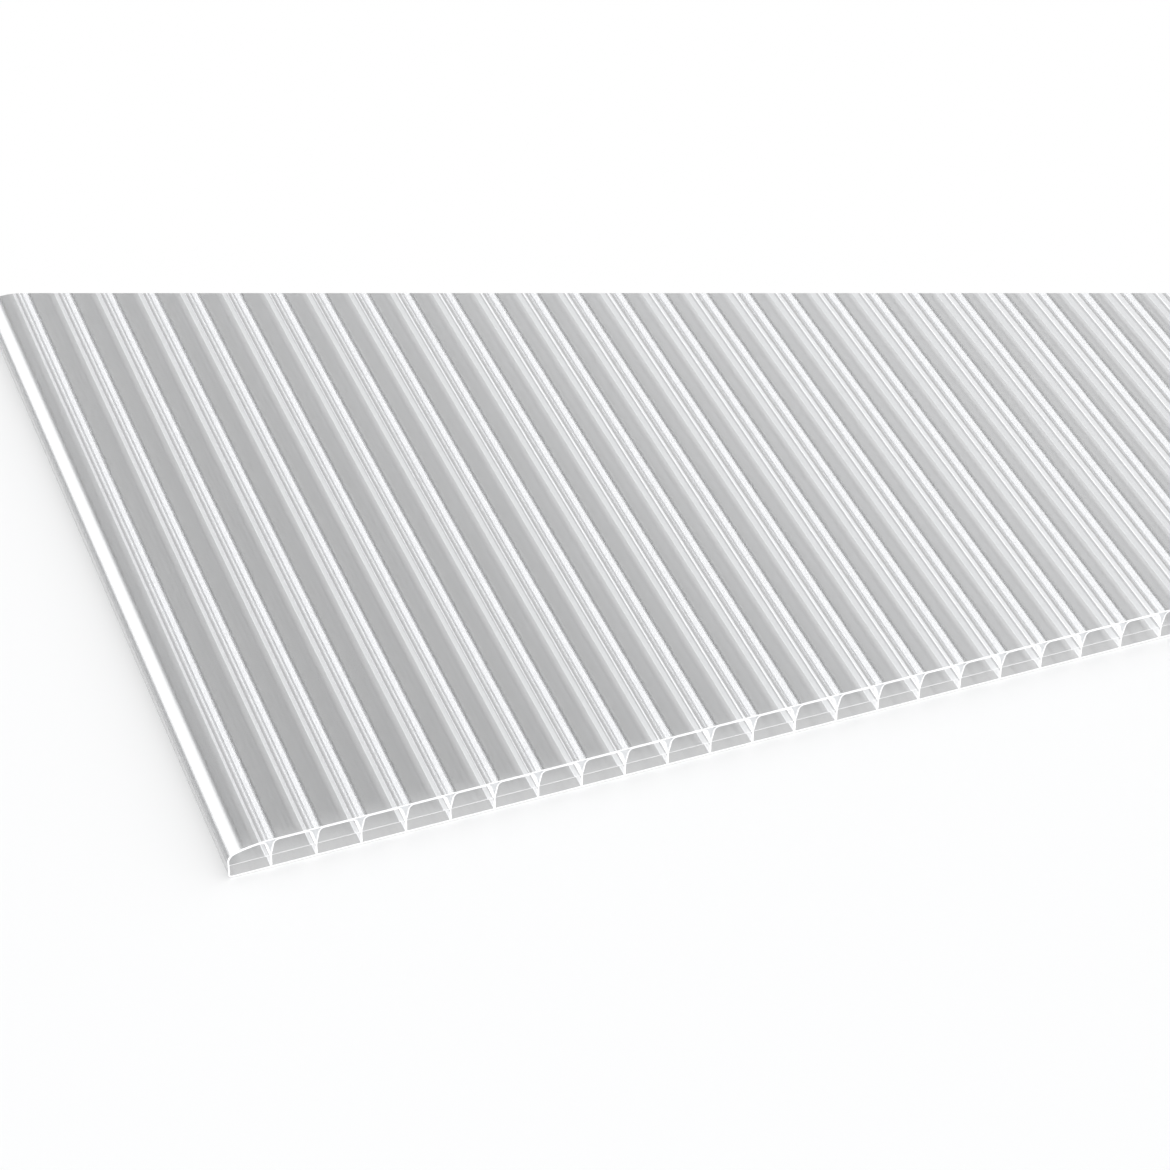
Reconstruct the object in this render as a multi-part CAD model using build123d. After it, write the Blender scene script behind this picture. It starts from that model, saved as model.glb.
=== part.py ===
"""Multiwall polycarbonate sheet: one extruded piece, three walls joined by upright ribs.

The sheet lies flat. X is its width, Y is its length (the way the hollow cells run) and
Z is up. The origin is the middle of the underside. All sizes are in millimetres.
"""

import os
from math import asin, pi, tan

from build123d import *

# The sheet as it is sold
sheet_width = 980.0
sheet_length = 2000.0
sheet_thickness = 16.0

# The three walls
top_wall = 1.2
middle_wall = 0.2
bottom_wall = 0.8

# Height of the middle wall above the underside, measured to its centre
middle_height = 7.0

# Ribs stand about 20 mm apart, with a slightly narrower cell along each long edge
rib_spacing = 20.0
edge_cell_width = 19.0

# Below the middle wall a rib is thin and upright. Above it, a rib widens up to the top wall
rib_thickness = 0.65
rib_top_thickness = 4.2

# Roundings inside the cells
top_fillet = 2.4
small_fillet = 0.4

# The long edges: a thin side wall, a rounded shoulder and a small rounding underneath
side_wall = 0.7
shoulder_radius = 5.0
bottom_corner_radius = 1.5

# Over each edge cell the top falls away along one large arc
edge_slope_radius = 54.0

# The ribs share the width between the two edge cells
rib_count = round((sheet_width - 2 * edge_cell_width) / rib_spacing) + 1
rib_pitch = (sheet_width - 2 * edge_cell_width) / (rib_count - 1)

# Heights of the wall faces
middle_under = middle_height - middle_wall / 2
middle_over = middle_height + middle_wall / 2
top_under = sheet_thickness - top_wall

half_width = sheet_width / 2
half_rib = rib_thickness / 2
half_rib_top = rib_top_thickness / 2


def round_corner(face, near, radius):
    """Round the one corner of a face that lies nearest to a point."""
    return fillet(face.vertices().sort_by_distance(near)[0], radius)


def outer_section():
    """The full outline: flat underside, upright sides, arcs falling to the shoulders."""
    arc_centre = sheet_thickness - edge_slope_radius

    def arc_height(from_flat):
        """Height of the large arc at a distance from where the flat top ends."""
        return arc_centre + (edge_slope_radius**2 - from_flat**2) ** 0.5

    flat_end = half_width - edge_cell_width
    arc_middle = half_width - edge_cell_width / 2
    side_top = arc_height(edge_cell_width)
    middle_top = arc_height(edge_cell_width / 2)

    face = make_face([
        Line((-half_width, 0), (half_width, 0)),
        Line((half_width, 0), (half_width, side_top)),
        ThreePointArc((half_width, side_top), (arc_middle, middle_top), (flat_end, sheet_thickness)),
        Line((flat_end, sheet_thickness), (-flat_end, sheet_thickness)),
        ThreePointArc((-flat_end, sheet_thickness), (-arc_middle, middle_top), (-half_width, side_top)),
        Line((-half_width, side_top), (-half_width, 0)),
    ])
    for side in (-half_width, half_width):
        face = round_corner(face, (side, 0), bottom_corner_radius)
        face = round_corner(face, (side, side_top), shoulder_radius)
    return face


def lower_cell(left, right, left_fillet):
    """A cell under the middle wall, between two upright faces, rounded at the bottom."""
    face = make_face(Polyline(
        (left, bottom_wall),
        (right, bottom_wall),
        (right, middle_under),
        (left, middle_under),
        close=True,
    ))
    face = round_corner(face, (left, bottom_wall), left_fillet)
    return round_corner(face, (right, bottom_wall), small_fillet)


def upper_cell(left, right):
    """A cell over the middle wall, between the slanting flanks of two ribs."""
    face = make_face(Polyline(
        (left + half_rib, middle_over),
        (right - half_rib, middle_over),
        (right - half_rib_top, top_under),
        (left + half_rib_top, top_under),
        close=True,
    ))
    face = round_corner(face, (left, middle_over), small_fillet)
    face = round_corner(face, (right, middle_over), small_fillet)
    face = round_corner(face, (left + half_rib_top, top_under), top_fillet)
    return round_corner(face, (right - half_rib_top, top_under), top_fillet)


def upper_edge_cell(side, right):
    """The cell over the middle wall at the left long edge, under the large arc."""
    left = side + side_wall
    face = make_face(Polyline(
        (left, middle_over),
        (right - half_rib, middle_over),
        (right - half_rib_top, top_under),
        (right - half_rib_top, sheet_thickness),
        (left, sheet_thickness),
        close=True,
    ))
    arc_centre = (right, sheet_thickness - edge_slope_radius)
    under_arc = Pos(*arc_centre) * Circle(edge_slope_radius - top_wall)
    face = (face & under_arc).face()
    face = round_corner(face, (left, middle_over), small_fillet)
    face = round_corner(face, (right, middle_over), small_fillet)
    face = round_corner(face, (right, top_under), top_fillet)

    # The inner shoulder follows the outer one, as far as the side wall has room for it
    side_room = max(face.edges().filter_by(Axis.Y), key=lambda e: e.length).length
    shoulder_turn = pi / 2 - asin((edge_cell_width - shoulder_radius) / edge_slope_radius)
    inner_shoulder = min(shoulder_radius - side_wall, side_room / tan(shoulder_turn / 2))
    return round_corner(face, (left, top_under), inner_shoulder)


# The two cells between one pair of ribs, repeated from rib to rib
pair = [lower_cell(half_rib, rib_pitch - half_rib, small_fillet), upper_cell(0, rib_pitch)]
first_rib = -half_width + edge_cell_width
cells = [Pos(first_rib + i * rib_pitch, 0) * cell for i in range(rib_count - 1) for cell in pair]

# The two cells along the left edge, mirrored for the right edge
corner_fillet = max(bottom_corner_radius - bottom_wall, small_fillet)
edge_pair = [
    lower_cell(-half_width + side_wall, first_rib - half_rib, corner_fillet),
    upper_edge_cell(-half_width, first_rib),
]
cells += edge_pair + [mirror(cell, about=Plane.YZ) for cell in edge_pair]

# One face with every cell left open, stretched along the length
outer_wire = outer_section().face().outer_wire()
section = Face(outer_wire, [cell.face().outer_wire() for cell in cells])
sheet = extrude(Plane.XZ * section, amount=sheet_length / 2, both=True)

sheet.label = "multiwall_sheet"
os.makedirs("parts", exist_ok=True)
export_step(sheet, "parts/multiwall_sheet.step")

print("ribs", rib_count, "pitch in mm", round(rib_pitch, 3), "cells", len(cells))
print("volume in cubic centimetres", round(sheet.volume / 1000, 1))
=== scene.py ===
# %% [markdown]
# A clear multiwall sheet, looked at as a material study
#
# The object is one extruded piece of clear polycarbonate: a top, a middle and a bottom wall with
# upright ribs between them, so that long hollow cells run from one sawn end to the other.
# This file dresses the measured CAD model of that sheet. It builds a finer copy of the same
# section, gives each kind of face its finish, and sets up a floor, lights and a camera.

# %% Load the measured model
import math

import bmesh
import bpy
import mathutils
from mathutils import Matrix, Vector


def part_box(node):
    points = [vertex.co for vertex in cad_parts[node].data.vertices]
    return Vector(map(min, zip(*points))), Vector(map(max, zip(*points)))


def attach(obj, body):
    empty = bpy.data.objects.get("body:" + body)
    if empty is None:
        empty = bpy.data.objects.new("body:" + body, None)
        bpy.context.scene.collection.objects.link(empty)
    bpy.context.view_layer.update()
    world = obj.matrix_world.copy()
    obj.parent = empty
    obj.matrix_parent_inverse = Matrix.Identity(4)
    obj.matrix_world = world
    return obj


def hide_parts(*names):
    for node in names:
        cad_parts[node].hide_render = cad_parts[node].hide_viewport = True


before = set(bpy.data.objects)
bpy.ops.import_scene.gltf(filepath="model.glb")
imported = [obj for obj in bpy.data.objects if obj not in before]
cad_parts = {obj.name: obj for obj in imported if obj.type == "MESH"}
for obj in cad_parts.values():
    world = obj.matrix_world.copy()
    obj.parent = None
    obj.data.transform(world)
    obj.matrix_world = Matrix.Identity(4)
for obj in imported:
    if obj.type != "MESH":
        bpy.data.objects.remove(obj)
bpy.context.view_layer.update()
SHEET_NODE = "multiwall_sheet"
low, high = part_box(SHEET_NODE)
sheet_width = high[0] - low[0]
sheet_length = high[1] - low[1]
sheet_thickness = high[2] - low[2]
print("sheet in metres", round(sheet_width, 4), round(sheet_length, 4), round(sheet_thickness, 4))

# %% [markdown]
# The section in numbers
#
# An extruded sheet is fully described by its cross-section. The sizes could be measured from the
# CAD mesh, but names and millimetres are easier to read and to change. These are the same sizes
# as in the CAD model. With them, the outlines below can be read as sentences: a rib is so thick,
# a wall is so thick, a corner is rounded by so much.

# %% Sizes of the section
MM = 0.001
top_wall = 1.2 * MM
middle_wall = 0.2 * MM
bottom_wall = 0.8 * MM
middle_height = 7.0 * MM
rib_spacing = 20.0 * MM
edge_cell_width = 19.0 * MM
rib_thickness = 0.65 * MM
rib_top_thickness = 4.2 * MM
top_fillet = 2.4 * MM
small_fillet = 0.4 * MM
side_wall = 0.7 * MM
shoulder_radius = 5.0 * MM
bottom_corner_radius = 1.5 * MM
edge_slope_radius = 54.0 * MM

middle_under = middle_height - middle_wall / 2
middle_over = middle_height + middle_wall / 2
top_under = sheet_thickness - top_wall
half_width = sheet_width / 2
rib_count = round((sheet_width - 2 * edge_cell_width) / rib_spacing) + 1
rib_pitch = (sheet_width - 2 * edge_cell_width) / (rib_count - 1)
first_rib = -half_width + edge_cell_width
print("ribs", rib_count, "pitch in mm", round(rib_pitch / MM, 3))

# %% [markdown]
# Outlines that occur once
#
# The outer outline and the two cells along each long edge are not repeated. They could be drawn
# by hand as curves, but then no size in them would have a name. So they are lists of points, and
# a small helper turns a corner into an arc, as the die rounds it.

# %% Arcs in place of corners
def arc_points(centre, radius, start, end, steps):
    """Points on an arc, from one angle to another, both ends included."""
    angles = [start + (end - start) * i / steps for i in range(steps + 1)]
    return [(centre[0] + radius * math.cos(a), centre[1] + radius * math.sin(a)) for a in angles]


def round_corner(before, corner, after, radius, steps=10):
    """The arc that replaces one corner between two straight runs."""
    ax, ay = before[0] - corner[0], before[1] - corner[1]
    bx, by = after[0] - corner[0], after[1] - corner[1]
    a_len, b_len = math.hypot(ax, ay), math.hypot(bx, by)
    ax, ay, bx, by = ax / a_len, ay / a_len, bx / b_len, by / b_len
    half = math.acos(max(-1.0, min(1.0, ax * bx + ay * by))) / 2
    reach = radius / math.tan(half)
    mx, my = ax + bx, ay + by
    out = radius / math.sin(half) / math.hypot(mx, my)
    centre = (corner[0] + mx * out, corner[1] + my * out)
    start = math.atan2(corner[1] + ay * reach - centre[1], corner[0] + ax * reach - centre[0])
    end = math.atan2(corner[1] + by * reach - centre[1], corner[0] + bx * reach - centre[0])
    while end - start > math.pi:
        end -= 2 * math.pi
    while end - start < -math.pi:
        end += 2 * math.pi
    return arc_points(centre, radius, start, end, steps)


foot = round_corner((0, 0), (-half_width, 0), (-half_width, 1), bottom_corner_radius)
print("the lower left corner is an arc of", len(foot), "points")

# %% [markdown]
# The outer outline
#
# Underneath, the sheet is flat, with a small rounding at each side. Over an edge cell the top
# falls away along one large arc, and a shoulder joins that arc to the upright side. The shoulder
# touches both. Its centre could be found by trial, but it also follows from the sizes: it lies
# one radius inside the side, and one radius inside the large arc. So it is worked out.

# %% Arcs that touch the large arc
arc_centre = (first_rib, sheet_thickness - edge_slope_radius)


def touching_arc(point, run, inward, big_radius, radius, steps=16):
    """An arc from a straight run to the large arc, touching both from inside.

    The inside is on the right of the run where inward is 1, and on its left where it is -1.
    """
    length = math.hypot(*run)
    along_x, along_z = run[0] / length, run[1] / length
    in_x, in_z = inward * along_z, -inward * along_x
    from_x = point[0] + in_x * radius - arc_centre[0]
    from_z = point[1] + in_z * radius - arc_centre[1]
    behind = from_x * along_x + from_z * along_z
    reach = big_radius - radius
    ahead = math.sqrt(behind ** 2 - from_x ** 2 - from_z ** 2 + reach ** 2) - behind
    centre_x = arc_centre[0] + from_x + along_x * ahead
    centre_z = arc_centre[1] + from_z + along_z * ahead
    start = math.atan2(-in_z, -in_x)
    end = math.atan2(centre_z - arc_centre[1], centre_x - arc_centre[0])
    return arc_points((centre_x, centre_z), radius, start, end, steps)


def large_arc(radius, left_x, right_x, steps=24):
    """Points of the large arc over the edge cell, between two places across the sheet."""
    xs = [left_x + (right_x - left_x) * i / steps for i in range(1, steps)]
    return [(x, arc_centre[1] + math.sqrt(radius ** 2 - (first_rib - x) ** 2)) for x in xs]


print("centre of the large arc in mm", [round(place / MM, 1) for place in arc_centre])

# %% Outer outline
UPWARD = (0, 1)


def flipped(points):
    """The same outline on the other long edge."""
    return [(-x, z) for x, z in reversed(points)]


outer_shoulder = touching_arc((-half_width, 0), UPWARD, 1, edge_slope_radius, shoulder_radius)
shoulder_foot = outer_shoulder[0][1]
left_outline = foot + outer_shoulder
left_outline += large_arc(edge_slope_radius, outer_shoulder[-1][0], first_rib)
left_outline += [(first_rib, sheet_thickness)]
outer_outline = left_outline + flipped(left_outline)
print("outer outline has", len(outer_outline), "points")
print("the shoulder begins", round(shoulder_foot / MM, 2), "mm up")

# %% [markdown]
# The narrow cells along the long edges
#
# Each long edge has a lower and an upper cell of its own. The lower one is a rectangle with two
# rounded corners. The upper one lies under the large arc, so its roof is the same arc, one wall
# thickness further in. It could be cut out of the outer outline, but the same helpers draw it
# straight away: at the side it turns down in a rounded shoulder, and at the rib it runs into the
# flank with the same fillet as everywhere.

# %% Lower edge cell
def rounded_outline(corners):
    """A closed outline from (x, z, radius) corners."""
    points = []
    for i, (x, z, radius) in enumerate(corners):
        before, after = corners[i - 1][:2], corners[(i + 1) % len(corners)][:2]
        points += round_corner(before, (x, z), after, radius) if radius else [(x, z)]
    return points


edge_left = -half_width + side_wall
edge_right = first_rib - rib_thickness / 2
outer_bottom_fillet = max(bottom_corner_radius - bottom_wall, small_fillet)
edge_lower = rounded_outline([
    (edge_left, bottom_wall, outer_bottom_fillet),
    (edge_right, bottom_wall, small_fillet),
    (edge_right, middle_under, 0),
    (edge_left, middle_under, 0),
])
print("lower edge cell has", len(edge_lower), "points")

# %% Upper edge cell
SMALL_STEPS = 5

inner_radius = edge_slope_radius - top_wall
inner_fillet = shoulder_radius - side_wall
inner_corner = (edge_left, middle_over)
flank_foot = (edge_right, middle_over)
flank_head = (first_rib - rib_top_thickness / 2, top_under)
flank_run = (flank_head[0] - flank_foot[0], flank_head[1] - flank_foot[1])

inner_shoulder = touching_arc((edge_left, 0), UPWARD, 1, inner_radius, inner_fillet)
flank_arc = touching_arc(flank_foot, flank_run, -1, inner_radius, top_fillet)
edge_upper = round_corner((edge_left, 1), inner_corner, flank_foot, small_fillet, SMALL_STEPS)
edge_upper += round_corner(inner_corner, flank_foot, flank_head, small_fillet, SMALL_STEPS)
edge_upper += flank_arc
edge_upper += reversed(large_arc(inner_radius, inner_shoulder[-1][0], flank_arc[-1][0]))
edge_upper += reversed(inner_shoulder)
print("upper edge cell has", len(edge_upper), "points")

# %% [markdown]
# From lists of points to curves
#
# The node tree further down needs these outlines as curves. They could be five curve objects,
# but Geometry Nodes can also turn a mesh of bare edges into curves, and one mesh holds them all.
# So the outlines are kept as one such mesh, which the tree takes as its geometry.

# %% Keep these outlines as one mesh of closed edge loops
def loops_object(name, outlines):
    """A mesh of closed edge loops, drawn flat, for Geometry Nodes to turn into curves."""
    vertices, edges = [], []
    for points in outlines:
        first = len(vertices)
        vertices += [(x, z, 0) for x, z in points]
        count = len(points)
        edges += [(first + i, first + (i + 1) % count) for i in range(count)]
    mesh = bpy.data.meshes.new(name)
    mesh.from_pydata(vertices, edges, [])
    made = bpy.data.objects.new(name, mesh)
    bpy.context.collection.objects.link(made)
    return made


single_outlines = [outer_outline, edge_lower, edge_upper, flipped(edge_lower), flipped(edge_upper)]
outline_loops = loops_object("section_outlines", single_outlines)
print("outlines drawn once", len(single_outlines))
print("loop corners", len(outline_loops.data.vertices))

# %% [markdown]
# Finishes of one clear plastic
#
# Every finish here is the same plastic, seen on another kind of face. It could be a Glass shader,
# but a Principled shader with full transmission is as clear, and can also be made hazy. Its index
# is 1.585, higher than that of window glass, so its edges shine more.
#
# A lamp's light does not pass a refracting surface on its own in a path tracer, and the floor
# under the sheet would turn black or noisy. So for shadow rays a surface is a slightly tinted
# transparent film, which lets most of the light through, as the real sheet does.

# %% Helpers for node trees
def add_node(tree, kind, links=None, **settings):
    """Adds a node, sets its properties, and sets or links its inputs."""
    made = tree.nodes.new(kind)
    for name, value in settings.items():
        setattr(made, name, value)
    for key, value in (links or {}).items():
        if isinstance(value, bpy.types.NodeSocket):
            tree.links.new(value, made.inputs[key])
        else:
            made.inputs[key].default_value = value
    return made


def formula(tree, operation, *values):
    """One Math node, for writing a formula step by step."""
    return add_node(tree, "ShaderNodeMath", dict(enumerate(values)), operation=operation).outputs[0]


print("node helpers", add_node.__name__, "and", formula.__name__)

# %% Helpers for materials
PLASTIC_INDEX = 1.585


def empty_material(name):
    """A node material with only its output."""
    material = bpy.data.materials.new(name)
    material.use_nodes = True
    tree = material.node_tree
    tree.nodes.clear()
    return material, tree, tree.nodes.new("ShaderNodeOutputMaterial")


def plastic(tree, colour, roughness, clearness):
    """Polycarbonate, from clear to hazy."""
    return add_node(tree, "ShaderNodeBsdfPrincipled", {
        "Base Color": colour,
        "Roughness": roughness,
        "IOR": PLASTIC_INDEX,
        "Transmission Weight": clearness,
    })


def let_lamps_through(tree, output, shader, passed):
    """Shows the shader to every ray but shadow rays, which pass a pale transparent film."""
    path = add_node(tree, "ShaderNodeLightPath")
    film = add_node(tree, "ShaderNodeBsdfTransparent", {"Color": passed})
    mix = add_node(tree, "ShaderNodeMixShader", {0: path.outputs["Is Shadow Ray"]})
    tree.links.new(shader.outputs[0], mix.inputs[1])
    tree.links.new(film.outputs[0], mix.inputs[2])
    tree.links.new(mix.outputs[0], output.inputs["Surface"])


print("index of the plastic", PLASTIC_INDEX)

# %% [markdown]
# Clear walls
#
# The walls come out of the die glass clear and smooth. Seen at a slant, a thin wall shows the
# floor behind it almost unchanged, and mirrors a little of the room. A Transparent shader would
# show the floor but mirror nothing, so the walls are refracting plastic without any roughness.

# %% Clear walls
CLEAR_COLOUR = (0.99, 0.993, 0.996, 1)
WALL_LAMP_SHARE = (0.98, 0.98, 0.98, 1)
SMOOTH_ROUGHNESS = 0.0
FULLY_CLEAR = 1.0

clear_wall, tree, output = empty_material("clear_wall")
shader = plastic(tree, CLEAR_COLOUR, SMOOTH_ROUGHNESS, FULLY_CLEAR)
let_lamps_through(tree, output, shader, WALL_LAMP_SHARE)
print("lamp light that one wall passes", WALL_LAMP_SHARE[0])

# %% [markdown]
# The underside, which makes the cells grey
#
# The ground under a real sheet is darker than the ground beside it, because every wall sends
# some light back up. That grey is what shows between the ribs. It could be spread over all the
# walls, but on one face it is easier to shape. So all of it is given to the underside, the face
# nearest to the floor, which lets about half of the lamps' light pass.
#
# Close to a sawn end or a long edge light comes in from outside, so the share rises there. It
# also rises beside the foot of each rib, which spreads light, and slowly toward the middle.
# Faint streaks along the sheet come from the die, so their noise is stretched along it.

# %% Helpers for what depends on the place
def object_axes(tree):
    """The place on the sheet, as X, Y and Z in metres."""
    place = add_node(tree, "ShaderNodeTexCoord").outputs["Object"]
    return add_node(tree, "ShaderNodeSeparateXYZ", {0: place}).outputs


def inside_from(tree, edge, axis):
    """How far a place is inside the nearer of the two edges, which lie at plus and minus edge."""
    return formula(tree, "SUBTRACT", edge, formula(tree, "ABSOLUTE", axis))


def from_nearest_rib(tree, x):
    """How far a place is from the middle of the nearest rib, positive on the rib's right."""
    from_first = formula(tree, "SUBTRACT", x, first_rib)
    return formula(tree, "WRAP", from_first, rib_pitch / 2, -rib_pitch / 2)


def fade(tree, value, places, shares, shape="SMOOTHSTEP"):
    """A number that goes from one share to another between two places, and then stays."""
    return add_node(tree, "ShaderNodeMapRange", {
        "Value": value,
        "From Min": places[0],
        "From Max": places[1],
        "To Min": shares[0],
        "To Max": shares[1],
    }, interpolation_type=shape).outputs[0]


print("places repeat from rib to rib, every", round(rib_pitch / MM, 2), "mm")

# %% Clear underside, with its slow changes
MIDDLE_PLACES = (60 * MM, 420 * MM)
MIDDLE_SHARES = (0.38, 0.72)
FOOT_SHIFT = 1.3 * MM
GLOW_PLACES = (0.5 * MM, 2.6 * MM)
GLOW_SHARES = (0.45, 0.0)

clear_underside, tree, output = empty_material("clear_underside")
shader = plastic(tree, CLEAR_COLOUR, SMOOTH_ROUGHNESS, FULLY_CLEAR)
axes = object_axes(tree)
from_side = inside_from(tree, half_width, axes["X"])
from_end = inside_from(tree, sheet_length / 2, axes["Y"])
inner_share = fade(tree, from_side, MIDDLE_PLACES, MIDDLE_SHARES, "LINEAR")
shifted = formula(tree, "ADD", from_nearest_rib(tree, axes["X"]), FOOT_SHIFT)
glow = fade(tree, formula(tree, "ABSOLUTE", shifted), GLOW_PLACES, GLOW_SHARES)
print("share of lamp light from the sides to the middle", MIDDLE_SHARES)

# %% Streaks, and light from outside
STREAK_SCALE = 260.0
STREAK_DETAIL = 2.0
STREAK_SQUEEZE = 0.02
STREAK_STRENGTH = 0.1
NOISE_MEAN = 0.5
END_PLACES = (2 * MM, 26 * MM)
SIDE_PLACES = (1 * MM, 11 * MM)
RIM_SHARES = (0.98, 0.4)

squeezed = formula(tree, "MULTIPLY", axes["Y"], STREAK_SQUEEZE)
streak_place = add_node(tree, "ShaderNodeCombineXYZ", {"X": axes["X"], "Y": squeezed}).outputs[0]
streaks = add_node(tree, "ShaderNodeTexNoise", {
    "Vector": streak_place, "Scale": STREAK_SCALE, "Detail": STREAK_DETAIL,
}).outputs[0]
streaks = formula(tree, "SUBTRACT", streaks, NOISE_MEAN)
streaked_glow = formula(tree, "MULTIPLY_ADD", streaks, STREAK_STRENGTH, glow)
inner_share = formula(tree, "ADD", inner_share, streaked_glow)
end_share = fade(tree, from_end, END_PLACES, RIM_SHARES)
side_share = fade(tree, from_side, SIDE_PLACES, RIM_SHARES)
lamp_share = formula(tree, "MAXIMUM", inner_share, end_share)
lamp_share = formula(tree, "MAXIMUM", lamp_share, side_share)
let_lamps_through(tree, output, shader, lamp_share)
print("the share rises over the last", round(END_PLACES[1] / MM), "mm before a sawn end")

# %% [markdown]
# White ribs with painted light and shade
#
# Inside a rib, light is reflected many times between two close faces, so a rib looks white, with
# fine bright and dark lines along it. A path tracer needs thousands of samples for all those
# reflections. So the flanks of the ribs are hazy and pale instead, and their colour is painted
# light and shade that follows the height: the white of those reflections, with a painted bright
# line and a painted dark line. The left and the right flank are painted differently, because the
# picture shows them through different parts of the top wall. Each pair below is a height in
# millimetres and a painted shade. Only the fillet over the right flank stays clear, which gives
# each rib its crisp right border.

# %% Helpers for shades
COOL_WHITE = (0.985, 0.99, 1.0)


def profile(tree, height, stops):
    """A shade that follows the height in the sheet, through (millimetre, shade) stops."""
    share = formula(tree, "DIVIDE", height, sheet_thickness)
    ramp = add_node(tree, "ShaderNodeValToRGB", {"Fac": share})
    elements = ramp.color_ramp.elements
    while len(elements) < len(stops):
        elements.new(0.5)
    for element, (z, value) in zip(elements, stops):
        element.position = z * MM / sheet_thickness
        element.color = (*[value * part for part in COOL_WHITE], 1)
    return ramp.outputs["Color"]


def mix_colours(tree, share, first, second):
    """The first colour where the share is 0, the second where it is 1."""
    links = {0: share, 6: first, 7: second}
    return add_node(tree, "ShaderNodeMix", links, data_type="RGBA").outputs[2]


print("shades are tinted by", COOL_WHITE)

# %% Ribs with die lines
RIB_LAMP_SHARE = (0.985, 0.985, 0.985, 1)
RIB_ROUGHNESS = 0.35
FILLET_HEIGHT = 13.4
# These stops paint light and shade: the white of many reflections, a bright and a dark line, and a
# darker right flank.
LEFT_PAINTED_STOPS = [
    (0.8, 0.88), (4.6, 0.9), (5.2, 0.58), (6.1, 0.55), (6.8, 0.9), (7.2, 1.0), (9.4, 1.0),
    (14.8, 1.0),
]
RIGHT_PAINTED_STOPS = [
    (0.8, 0.42), (5.8, 0.45), (6.8, 0.53), (7.6, 0.57), (8.1, 0.5), (8.5, 0.57), (10.0, 0.57),
    (10.4, 0.48), (10.8, 0.59), (13.3, 0.66), (13.5, 0.97),
]

rib_with_painted_light, tree, output = empty_material("rib_with_painted_light")
axes = object_axes(tree)
on_right = formula(tree, "GREATER_THAN", from_nearest_rib(tree, axes["X"]), 0.0)
left_shade = profile(tree, axes["Z"], LEFT_PAINTED_STOPS)
right_shade = profile(tree, axes["Z"], RIGHT_PAINTED_STOPS)
rib_painted_tone = mix_colours(tree, on_right, left_shade, right_shade)
over_flank = formula(tree, "GREATER_THAN", axes["Z"], FILLET_HEIGHT * MM)
rib_clearness = formula(tree, "MULTIPLY", over_flank, on_right)
shader = plastic(tree, rib_painted_tone, RIB_ROUGHNESS, rib_clearness)
let_lamps_through(tree, output, shader, RIB_LAMP_SHARE)
print("the right flank is hazy up to", FILLET_HEIGHT, "mm")

# %% [markdown]
# The grey side walls
#
# The side wall closes the sheet along its long edge. Seen at a slant, its grey is painted shade: a
# tint that is deeper than on a flat wall, and darker in bands at its foot and above its middle.
# That shade could come from an absorbing volume, but a tint of the surface is simpler to set. So
# the surface is tinted, by painted shades that follow the height.

# %% Side wall
# Painted shade: a grey tint, darker at the foot and above the middle of the side wall.
SIDE_PAINTED_SHADES = [(0.0, 0.72), (1.4, 0.74), (2.4, 0.88), (5.8, 0.88), (7.0, 0.74), (12.0, 0.74)]

side_with_painted_shade, tree, output = empty_material("side_with_painted_shade")
side_shade = profile(tree, object_axes(tree)["Z"], SIDE_PAINTED_SHADES)
shader = plastic(tree, side_shade, SMOOTH_ROUGHNESS, FULLY_CLEAR)
let_lamps_through(tree, output, shader, WALL_LAMP_SHARE)
print("shades up the side wall", [shade for height, shade in SIDE_PAINTED_SHADES])

# %% [markdown]
# The white shoulders
#
# Over the side wall the sheet curves into its top. This curve bends and mirrors light from all
# round, and the photograph shows a white band on it. Clear plastic alone could show it only with
# very many samples, as in the ribs. So the band is made as the ribs are, with haze in place of
# many reflections: its white is painted light. The haze fades out on both sides of the band, and
# the clear rim outside it gets a grey tint, which is painted shade.

# %% Bright shoulders
SHOULDER_ROUGHNESS = 0.1
INNER_PLACES = (5.0 * MM, 7.4 * MM)
OUTER_PLACES = (1.2 * MM, 2.0 * MM)
BAND_CLEARNESS = 0.1
# The band's white is painted light, and the grey tint of the clear rim outside it is painted shade.
BAND_PAINTED_LIGHT = (0.88, 0.885, 0.89, 1)
RIM_PAINTED_SHADE = (0.74, 0.745, 0.75, 1)

bright_shoulder, tree, output = empty_material("bright_shoulder")
from_side = inside_from(tree, half_width, object_axes(tree)["X"])
inner_clearness = fade(tree, from_side, INNER_PLACES, (BAND_CLEARNESS, FULLY_CLEAR))
outer_clearness = fade(tree, from_side, OUTER_PLACES, (FULLY_CLEAR, BAND_CLEARNESS))
shoulder_clearness = formula(tree, "MAXIMUM", inner_clearness, outer_clearness)
shoulder_painted_tint = mix_colours(tree, outer_clearness, BAND_PAINTED_LIGHT, RIM_PAINTED_SHADE)
shader = plastic(tree, shoulder_painted_tint, SHOULDER_ROUGHNESS, shoulder_clearness)
let_lamps_through(tree, output, shader, RIB_LAMP_SHARE)
band_ends = [round(place / MM, 1) for place in (OUTER_PLACES[0], INNER_PLACES[1])]
print("the white band lies between", band_ends, "mm inside the edge")

# %% [markdown]
# How deep a point of the saw cut lies
#
# A saw leaves a dull face, frayed white at its rims. That finish needs to know how far each point
# of the cut is from the nearest rim. It could be stored at the mesh's corners, but all of them
# lie on a rim. So it is worked out in the shader. Each wall and rib is a simple band, and a
# point's depth inside a band is a difference of two sizes. The depth inside the whole section is
# the largest of these depths, and a smooth maximum rounds the fillets between rib and top wall.

# %% Depth inside the section
FILLET_BLEND = 4.0 * MM

rib_flare = (rib_top_thickness - rib_thickness) / 2 / (top_under - middle_over)


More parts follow.
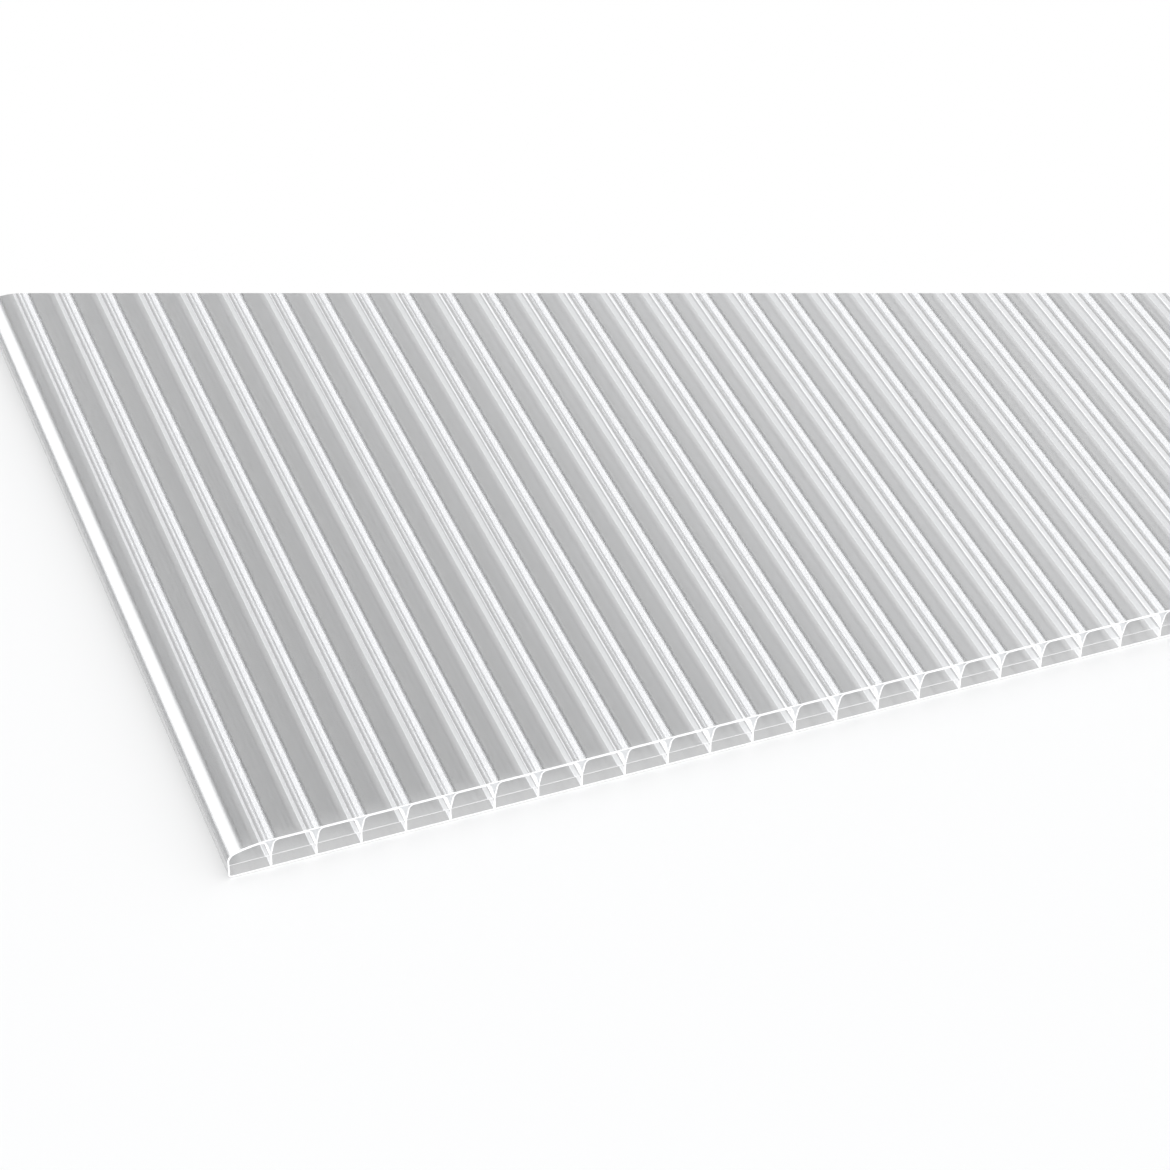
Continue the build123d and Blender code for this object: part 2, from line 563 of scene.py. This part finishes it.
def depth_from_rim(tree, x, z):
    """How far a point of the cut is from the nearest rim, in metres."""
    from_first = formula(tree, "SUBTRACT", x, first_rib)
    from_rib = formula(tree, "PINGPONG", from_first, rib_pitch / 2)
    rise = formula(tree, "MAXIMUM", formula(tree, "SUBTRACT", z, middle_over), 0.0)
    half_here = formula(tree, "MULTIPLY_ADD", rise, rib_flare, rib_thickness / 2)
    in_rib = formula(tree, "SUBTRACT", half_here, from_rib)
    in_roof = formula(tree, "SUBTRACT", z, top_under)
    inside = formula(tree, "SMOOTH_MAX", in_rib, in_roof, FILLET_BLEND)
    from_middle = formula(tree, "ABSOLUTE", formula(tree, "SUBTRACT", z, middle_height))
    in_middle = formula(tree, "SUBTRACT", middle_wall / 2, from_middle)
    in_floor = formula(tree, "SUBTRACT", bottom_wall, z)
    inside = formula(tree, "MAXIMUM", inside, formula(tree, "MAXIMUM", in_middle, in_floor))
    under_top = formula(tree, "SUBTRACT", sheet_thickness, z)
    return formula(tree, "MINIMUM", inside, formula(tree, "MINIMUM", under_top, z))


print("a flank leans by", round(math.degrees(math.atan(rib_flare)), 1), "degrees")

# %% [markdown]
# The sawn ends
#
# The saw's teeth leave fine grit on the cut. The rims are frayed white, and the middle of a thick
# rib stays a little clear; its grey is painted shade, a grey tint on that clear core. The frayed
# line could be modelled, but its teeth are far smaller than a millimetre. So a fine noise moves
# the border between the two, and the same noise gives the cut its small bumps.

# %% Sawn ends
GRIT_SCALE = 1800.0
GRIT_DETAIL = 3.0
GRIT_REACH = 0.2 * MM
GRIT_BUMP = 0.4
GRIT_HEIGHT = 0.2 * MM
SAWN_ROUGHNESS = 0.35
FRAYED_PLACES = (0.5 * MM, 1.0 * MM)
RIM_CLEARNESS = 0.05
CORE_CLEARNESS = 0.75
FRAYED_WHITE = (0.95, 0.955, 0.96, 1)
# The grey of the clear core is painted shade.
CORE_PAINTED_SHADE = (0.62, 0.63, 0.64, 1)

sawn_end, tree, output = empty_material("sawn_end")
place = add_node(tree, "ShaderNodeTexCoord").outputs["Object"]
axes = object_axes(tree)
depth = depth_from_rim(tree, axes["X"], axes["Z"])
grit = add_node(tree, "ShaderNodeTexNoise", {
    "Vector": place, "Scale": GRIT_SCALE, "Detail": GRIT_DETAIL,
}).outputs[0]
frayed = formula(tree, "MULTIPLY_ADD", grit, GRIT_REACH, depth)
core_clearness = fade(tree, frayed, FRAYED_PLACES, (RIM_CLEARNESS, CORE_CLEARNESS))
core_share = formula(tree, "DIVIDE", core_clearness, CORE_CLEARNESS)
sawn_tint_with_painted_shade = mix_colours(tree, core_share, FRAYED_WHITE, CORE_PAINTED_SHADE)
bump = add_node(tree, "ShaderNodeBump", {
    "Height": grit, "Strength": GRIT_BUMP, "Distance": GRIT_HEIGHT,
})
shader = plastic(tree, sawn_tint_with_painted_shade, SAWN_ROUGHNESS, core_clearness)
tree.links.new(bump.outputs[0], shader.inputs["Normal"])
let_lamps_through(tree, output, shader, WALL_LAMP_SHARE)
plastic_finishes = (clear_wall, clear_underside, rib_with_painted_light, side_with_painted_shade, bright_shoulder, sawn_end)
print("finishes", [material.name for material in plastic_finishes])

# %% [markdown]
# The repeated cells, with Geometry Nodes
#
# Between the two edges, the same pair of cells comes back 47 times. Copying 94 outlines by hand
# would bury the rule, so a node tree states it: two quadrilaterals, their corners rounded, and
# one copy of the pair on each point of a line. Its sizes are named inputs, so the same tree can
# make a sheet with other cells.

# %% The node tree and its inputs
sheet_tree = bpy.data.node_groups.new("extruded_multiwall_sheet", "GeometryNodeTree")
sheet_tree.interface.new_socket("Outlines", in_out="INPUT", socket_type="NodeSocketGeometry")
sheet_tree.interface.new_socket("Sheet", in_out="OUTPUT", socket_type="NodeSocketGeometry")
tree_sizes = {
    "Rib Pitch": rib_pitch,
    "First Rib": first_rib,
    "Half Rib": rib_thickness / 2,
    "Half Rib Top": rib_top_thickness / 2,
    "Bottom Wall": bottom_wall,
    "Middle Under": middle_under,
    "Middle Over": middle_over,
    "Top Under": top_under,
    "Small Fillet": small_fillet,
    "Top Fillet": top_fillet,
    "Length": sheet_length,
}
for size_name in tree_sizes:
    sheet_tree.interface.new_socket(size_name, in_out="INPUT", socket_type="NodeSocketFloat")
tree_sizes["Cell Pairs"] = rib_count - 1
sheet_tree.interface.new_socket("Cell Pairs", in_out="INPUT", socket_type="NodeSocketInt")
given = add_node(sheet_tree, "NodeGroupInput").outputs
print("named inputs", list(tree_sizes))

# %% [markdown]
# One pair of cells
#
# Between two ribs lie two cells: a square one under the middle wall, and over it one with
# slanting flanks and large fillets. They could be lists of points like the edge cells, but then
# their sizes would not be inputs of the tree. A quadrilateral has only four corners to place, and
# a Fillet Curve node rounds them. It takes one radius and one number of steps for each corner,
# so a switch gives the bottom corners other values than the top corners.

# %% Helpers for outlines in the tree
def corner(x, height):
    """One corner of an outline, drawn flat."""
    return add_node(sheet_tree, "ShaderNodeCombineXYZ", {"X": x, "Y": height}).outputs[0]


def quadrilateral(corners):
    """A closed curve with four corners."""
    made = add_node(sheet_tree, "GeometryNodeCurvePrimitiveQuadrilateral", mode="POINTS")
    free = [socket for socket in made.inputs if socket.name.startswith("Point")]
    for socket, place in zip(free, corners):
        sheet_tree.links.new(place, socket)
    return made.outputs["Curve"]


FIRST_TOP_CORNER = 2
corner_number = add_node(sheet_tree, "GeometryNodeInputIndex").outputs[0]
is_bottom = add_node(sheet_tree, "FunctionNodeCompare", {2: corner_number, 3: FIRST_TOP_CORNER},
                     data_type="INT", operation="LESS_THAN").outputs[0]


def by_corner(kind, bottom, top):
    """One value for the two bottom corners and another for the two top corners."""
    links = {"Switch": is_bottom, "False": top, "True": bottom}
    return add_node(sheet_tree, "GeometryNodeSwitch", links, input_type=kind).outputs[0]


def rounded(curve, radius, steps):
    """Replaces the corners of a curve by arcs."""
    links = {"Curve": curve, "Radius": radius, "Count": steps}
    return add_node(sheet_tree, "GeometryNodeFilletCurve", links, mode="POLY").outputs[0]


print("nodes so far", len(sheet_tree.nodes))

# %% Two rounded cells
TOP_STEPS = 14
NO_STEPS = 0

right_face = formula(sheet_tree, "SUBTRACT", given["Rib Pitch"], given["Half Rib"])
right_head = formula(sheet_tree, "SUBTRACT", given["Rib Pitch"], given["Half Rib Top"])
lower = quadrilateral([
    corner(given["Half Rib"], given["Bottom Wall"]),
    corner(right_face, given["Bottom Wall"]),
    corner(right_face, given["Middle Under"]),
    corner(given["Half Rib"], given["Middle Under"]),
])
upper = quadrilateral([
    corner(given["Half Rib"], given["Middle Over"]),
    corner(right_face, given["Middle Over"]),
    corner(right_head, given["Top Under"]),
    corner(given["Half Rib Top"], given["Top Under"]),
])
lower = rounded(lower, given["Small Fillet"], by_corner("INT", SMALL_STEPS, NO_STEPS))
upper_radius = by_corner("FLOAT", given["Small Fillet"], given["Top Fillet"])
upper = rounded(upper, upper_radius, by_corner("INT", SMALL_STEPS, TOP_STEPS))
print("nodes so far", len(sheet_tree.nodes))

# %% [markdown]
# One face with all cells open
#
# A copy of the pair stands on each point of a line, one rib pitch apart. Together with the
# outlines that occur once, these are all the closed curves of the section. Each hole could be cut
# with a Boolean, but filling all curves at once leaves the cells open in one step.

# %% Repeat the pair and fill the section
pair = add_node(sheet_tree, "GeometryNodeJoinGeometry")
sheet_tree.links.new(lower, pair.inputs[0])
sheet_tree.links.new(upper, pair.inputs[0])
line = add_node(sheet_tree, "GeometryNodeMeshLine", {
    "Count": given["Cell Pairs"],
    "Start Location": corner(given["First Rib"], 0.0),
    "Offset": corner(given["Rib Pitch"], 0.0),
}, mode="OFFSET")
copies = add_node(sheet_tree, "GeometryNodeInstanceOnPoints", {
    "Points": line.outputs[0], "Instance": pair.outputs[0],
})
cells = add_node(sheet_tree, "GeometryNodeRealizeInstances", {0: copies.outputs[0]})
once = add_node(sheet_tree, "GeometryNodeMeshToCurve", {"Mesh": given["Outlines"]})
section = add_node(sheet_tree, "GeometryNodeJoinGeometry")
sheet_tree.links.new(cells.outputs[0], section.inputs[0])
sheet_tree.links.new(once.outputs[0], section.inputs[0])
filled = add_node(sheet_tree, "GeometryNodeFillCurve", {"Curve": section.outputs[0]})
print("nodes so far", len(sheet_tree.nodes))

# %% [markdown]
# Stretched along the length
#
# This is how the die works: one flat opening, and the plastic keeps that shape over any length.
# A Solidify modifier could thicken the face too, but the tree can extrude it as well, and has
# the length as a named input. The flat section stands up at the near end, its turned copy is
# extruded to the far end, and the two are joined and welded into one closed skin.

# %% Stretch the section and close it
WELD_DISTANCE = 0.001 * MM
QUARTER_TURN = math.pi / 2

half_back = formula(sheet_tree, "MULTIPLY", given["Length"], -0.5)
to_near_end = add_node(sheet_tree, "ShaderNodeCombineXYZ", {"Y": half_back}).outputs[0]
near_end = add_node(sheet_tree, "GeometryNodeTransform", {
    "Geometry": filled.outputs[0], "Translation": to_near_end, "Rotation": (QUARTER_TURN, 0, 0),
})
turned = add_node(sheet_tree, "GeometryNodeFlipFaces", {0: near_end.outputs[0]})
whole_length = add_node(sheet_tree, "ShaderNodeCombineXYZ", {"Y": given["Length"]}).outputs[0]
extruded = add_node(sheet_tree, "GeometryNodeExtrudeMesh", {
    "Mesh": turned.outputs[0], "Offset": whole_length, "Offset Scale": 1.0, "Individual": False,
}, mode="FACES")
closed = add_node(sheet_tree, "GeometryNodeJoinGeometry")
sheet_tree.links.new(near_end.outputs[0], closed.inputs[0])
sheet_tree.links.new(extruded.outputs["Mesh"], closed.inputs[0])
welded = add_node(sheet_tree, "GeometryNodeMergeByDistance", {
    "Geometry": closed.outputs[0], "Distance": WELD_DISTANCE,
})
print("nodes so far", len(sheet_tree.nodes))

# %% [markdown]
# Soft arcs and crisp corners
#
# A fillet should catch light as one smooth band, while the edge of a saw cut is crisp. Many more
# facets would round a fillet too, at the cost of a heavy mesh. So the faces are shaded smooth,
# and each edge that turns by more than a fillet's facet is marked sharp.

# %% Shade the faces
CRISP_DEGREES = 24

edge_turn = add_node(sheet_tree, "GeometryNodeInputMeshEdgeAngle").outputs["Unsigned Angle"]
is_crisp = add_node(sheet_tree, "FunctionNodeCompare", {0: edge_turn, 1: math.radians(CRISP_DEGREES)},
                    data_type="FLOAT", operation="GREATER_THAN").outputs[0]
smooth = add_node(sheet_tree, "GeometryNodeSetShadeSmooth", {
    "Geometry": welded.outputs[0], "Shade Smooth": True,
}, domain="FACE")
crisp = add_node(sheet_tree, "GeometryNodeSetShadeSmooth", {
    "Geometry": smooth.outputs[0], "Selection": is_crisp, "Shade Smooth": False,
}, domain="EDGE")
plain = add_node(sheet_tree, "GeometryNodeRealizeInstances", {0: crisp.outputs[0]})
print("an edge is crisp over", CRISP_DEGREES, "degrees")

# %% [markdown]
# A finish for each kind of face
#
# Each finish belongs to one kind of face of the real sheet. The faces could be picked by their
# numbers, but those change with the number of cells. So they are chosen by where they are and
# where they look. The sawn ends look along the sheet. The flanks of the ribs look sideways. The
# side wall and the shoulder are the faces near a long edge, under and over the height where the
# shoulder begins.

# %% Helpers for choosing faces
def size_along(vector, axis):
    """One component of a vector, without its sign."""
    parts = add_node(sheet_tree, "ShaderNodeSeparateXYZ", {0: vector}).outputs
    return formula(sheet_tree, "ABSOLUTE", parts[axis])


def over(value, least):
    """Selects the faces where a value is greater."""
    return formula(sheet_tree, "GREATER_THAN", value, least)


def under(value, most):
    """Selects the faces where a value is less."""
    return formula(sheet_tree, "LESS_THAN", value, most)


def both(first, second):
    """Selects the faces that are in both selections."""
    return formula(sheet_tree, "MULTIPLY", first, second)


normal = add_node(sheet_tree, "GeometryNodeInputNormal").outputs[0]
position = add_node(sheet_tree, "GeometryNodeInputPosition").outputs[0]
print("nodes so far", len(sheet_tree.nodes))

# %% Assign the finishes
EDGE_ZONE = 8.0 * MM
GROUND_ZONE = 0.1 * MM
SQUARE_ON = 0.9
SIDEWAYS = 0.2
SLIGHTLY_SIDEWAYS = 0.1

sideways = size_along(normal, "X")
level = size_along(normal, "Z")
height = size_along(position, "Z")
at_edge = over(size_along(position, "X"), half_width - EDGE_ZONE)
on_underside = both(under(height, GROUND_ZONE), over(level, SQUARE_ON))
on_flank = formula(sheet_tree, "SUBTRACT", over(sideways, SIDEWAYS), at_edge)
on_side = both(both(over(sideways, SIDEWAYS), at_edge), under(height, shoulder_foot))
curving = both(over(sideways, SLIGHTLY_SIDEWAYS), at_edge)
on_shoulder = both(curving, over(height, shoulder_foot))
on_cut = over(size_along(normal, "Y"), SQUARE_ON)
finishes = (
    (True, clear_wall),
    (on_underside, clear_underside),
    (on_flank, rib_with_painted_light),
    (on_side, side_with_painted_shade),
    (on_shoulder, bright_shoulder),
    (on_cut, sawn_end),
)
geometry = plain.outputs[0]
for selection, material in finishes:
    geometry = add_node(sheet_tree, "GeometryNodeSetMaterial", {
        "Geometry": geometry, "Selection": selection, "Material": material,
    }).outputs[0]
result = add_node(sheet_tree, "NodeGroupOutput")
sheet_tree.links.new(geometry, result.inputs[0])
print("nodes in the tree", len(sheet_tree.nodes))

# %% [markdown]
# From the node tree to the object
#
# The sheet could keep its modifier, but a plain mesh can be measured and exported as it is. So
# the sizes go to the tree's inputs, the tree runs once, and its result becomes a plain mesh. It
# starts with an empty material slot, because Join Geometry adds one to meshes that have no
# material yet. No face uses it, so that slot is taken out and the faces' material numbers move
# down by one.

# %% Run the tree and keep its result as a plain mesh
builder = outline_loops.modifiers.new("extruded sheet", "NODES")
builder.node_group = sheet_tree
for item in sheet_tree.interface.items_tree:
    if item.in_out == "INPUT" and item.name in tree_sizes:
        builder[item.identifier] = tree_sizes[item.name]
evaluated = outline_loops.evaluated_get(bpy.context.evaluated_depsgraph_get())
sheet_mesh = bpy.data.meshes.new_from_object(evaluated)
sheet_mesh.name = "clear_sheet"
bpy.data.objects.remove(outline_loops)

if sheet_mesh.materials[0] is None:
    numbers = [face.material_index - 1 for face in sheet_mesh.polygons]
    sheet_mesh.materials.pop(index=0)
    sheet_mesh.polygons.foreach_set("material_index", numbers)
for number, material in enumerate(sheet_mesh.materials):
    faces = sum(1 for face in sheet_mesh.polygons if face.material_index == number)
    print(material.name, "is on", faces, "faces")

# %% [markdown]
# The sheet in its place
#
# The real sheet is one loose piece, so the new mesh rides on the only body there is. It could
# lie beside the CAD sheet or over it, but then the coarser one would show through. So it stands
# for the CAD sheet, which stays hidden.

# %% Put the sheet in place of the CAD sheet
clear_sheet = bpy.data.objects.new("clear_sheet", sheet_mesh)
bpy.context.collection.objects.link(clear_sheet)
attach(clear_sheet, "root")
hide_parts(SHEET_NODE)
triangles = sum(len(face.vertices) - 2 for face in sheet_mesh.polygons)
print("sheet has", triangles, "triangles")

# %% [markdown]
# A measured mesh
#
# A closed solid has two faces at every edge, and its volume is positive when all faces look
# outward. A look at the render would not show a small hole, so both are measured. The volume
# should be the CAD sheet's 6667 cubic centimetres, apart from the thin slivers between arcs and
# their facets.

# %% Measure the mesh
CM3_IN_M3 = 1e6

measured = bmesh.new()
measured.from_mesh(sheet_mesh)
open_edges = sum(1 for edge in measured.edges if len(edge.link_faces) != 2)
print("edges without two faces", open_edges)
print("volume in cubic centimetres", round(measured.calc_volume(signed=True) * CM3_IN_M3, 1))
measured.free()

# %% [markdown]
# The floor
#
# Clear plastic has no colour of its own. It shows the floor through its walls, and it mirrors
# what stands round it. So the floor is plain, pale and level. One square face is enough for it,
# and it lies a little under the sheet, so that no two faces share a plane.

# %% Floor
FLOOR_WIDTH = 60
FLOOR_GAP = 0.3 * MM
FLOOR_COLOUR = (0.93, 0.93, 0.93, 1)


def flat_floor(name, size, height):
    """A square, level floor."""
    half = size / 2
    corners = [
        (-half, -half, height),
        (half, -half, height),
        (half, half, height),
        (-half, half, height),
    ]
    mesh = bpy.data.meshes.new(name)
    mesh.from_pydata(corners, [], [(0, 1, 2, 3)])
    made = bpy.data.objects.new(name, mesh)
    bpy.context.collection.objects.link(made)
    return made


studio_floor = flat_floor("studio_floor", FLOOR_WIDTH, -FLOOR_GAP)
floor_paint, tree, output = empty_material("floor_paint")
shader = add_node(tree, "ShaderNodeBsdfDiffuse", {"Color": FLOOR_COLOUR})
tree.links.new(shader.outputs[0], output.inputs["Surface"])
studio_floor.data.materials.append(floor_paint)
print("floor", studio_floor.name, "is", FLOOR_WIDTH, "m wide")

# %% [markdown]
# A white room
#
# The background of the photograph is white. More light on the floor could make it white, but
# would also bleach the sheet. So the world is white for the camera, and also for rays that were
# mirrored or refracted on their way, which lets the plastic show the same white. For the light
# that falls on matt things the room is much darker, because the lamps below give most of it.

# %% World
ROOM_COLOUR = (0.98, 0.99, 1.0, 1)
ROOM_STRENGTH = 0.38
SEEN_WHITE = (1, 1, 1, 1)
SEEN_STRENGTH = 1.0

studio_world = bpy.data.worlds.new("studio_world")
bpy.context.scene.world = studio_world
studio_world.use_nodes = True
tree = studio_world.node_tree
tree.nodes.clear()
output = tree.nodes.new("ShaderNodeOutputWorld")
path = add_node(tree, "ShaderNodeLightPath").outputs
room = add_node(tree, "ShaderNodeBackground", {"Color": ROOM_COLOUR, "Strength": ROOM_STRENGTH})
white = add_node(tree, "ShaderNodeBackground", {"Color": SEEN_WHITE, "Strength": SEEN_STRENGTH})
seen = formula(tree, "MAXIMUM", path["Is Glossy Ray"], path["Is Transmission Ray"])
seen = formula(tree, "MAXIMUM", path["Is Camera Ray"], seen)
mix = add_node(tree, "ShaderNodeMixShader", {0: seen})
tree.links.new(room.outputs[0], mix.inputs[1])
tree.links.new(white.outputs[0], mix.inputs[2])
tree.links.new(mix.outputs[0], output.inputs["Surface"])
print("world", studio_world.name, "with a room strength of", ROOM_STRENGTH)

# %% [markdown]
# Lamps
#
# A large soft panel could stand close to the sheet, but it leaves a bright pool on the floor.
# Far away it lights every place alike, so it is made as a sun lamp with a wide angle. One lamp
# shines steeply from above. The flanks of the ribs are upright, so that light hardly reaches
# them. Two low lamps shine from the left and the right, the left one stronger, because the
# picture shows the flanks on that side. The lamps are hidden from mirrored and refracted rays,
# so they make no hard highlights in the plastic.

# %% Lamps
def soft_light(name, toward_lamp, strength, degrees_wide):
    """Even light from one direction, from a lamp that looks some degrees wide."""
    lamp = bpy.data.lights.new(name, "SUN")
    lamp.energy = strength
    lamp.angle = math.radians(degrees_wide)
    made = bpy.data.objects.new(name, lamp)
    bpy.context.collection.objects.link(made)
    made.location = toward_lamp
    made.visible_transmission = False
    made.visible_glossy = False
    made.rotation_euler = mathutils.Vector(toward_lamp).to_track_quat("Z", "Y").to_euler()
    return made


soft_light("high_light", (0.5, 0.4, 1.6), strength=1.02, degrees_wide=40)
soft_light("left_light", (-2.46, -1.5, 0.8), strength=3.62, degrees_wide=24)
soft_light("right_light", (2.46, -1.5, 0.8), strength=0.9, degrees_wide=24)

# %% [markdown]
# The camera
#
# The viewpoint could be set by eye, but straight lines tell it: it was worked out from the ribs,
# the line of the sawn end, and the known spacing and thickness. The picture stops along a level
# line, before the far end of the sheet. A level line across such a picture is a plane of constant
# depth, so the camera's far clipping distance makes the same cut.

# %% Camera
PHOTO_SIZE = 1170
FOCAL_PIXELS = 3657.8
SENSOR = 36.0
VIEWPOINT = (-0.74235, -2.09078, 1.07894)
VIEW_TURN = math.radians(20.739)
VIEW_FALL = math.radians(39.621)
NEAR_LIMIT = 0.1
FAR_LIMIT = 1.8446

camera_data = bpy.data.cameras.new("photo_camera")
camera_data.sensor_width = SENSOR
camera_data.lens = FOCAL_PIXELS / PHOTO_SIZE * SENSOR
camera_data.clip_start = NEAR_LIMIT
camera_data.clip_end = FAR_LIMIT
photo_camera = bpy.data.objects.new("photo_camera", camera_data)
bpy.context.collection.objects.link(photo_camera)
photo_camera.location = VIEWPOINT
photo_camera.rotation_euler = (QUARTER_TURN - VIEW_FALL, 0, -VIEW_TURN)
bpy.context.scene.camera = photo_camera
print("lens in mm", round(camera_data.lens, 2))

# %% [markdown]
# Render settings that belong to the look
#
# Light crosses up to six surfaces on its way down and as many on its way back. It could be cut
# short after a few bounces, which renders faster, but such paths would end dark. So the path
# tracer gets more bounces than usual. Caustics are off, because the film for shadow rays already
# brings the lamps' light through the plastic.

# %% Bounces and view
scene = bpy.context.scene
scene.view_settings.view_transform = "Standard"
scene.cycles.max_bounces = 32
scene.cycles.transmission_bounces = 32
scene.cycles.glossy_bounces = 16
scene.cycles.transparent_max_bounces = 64
scene.cycles.caustics_reflective = False
scene.cycles.caustics_refractive = False
print("view transform", scene.view_settings.view_transform)
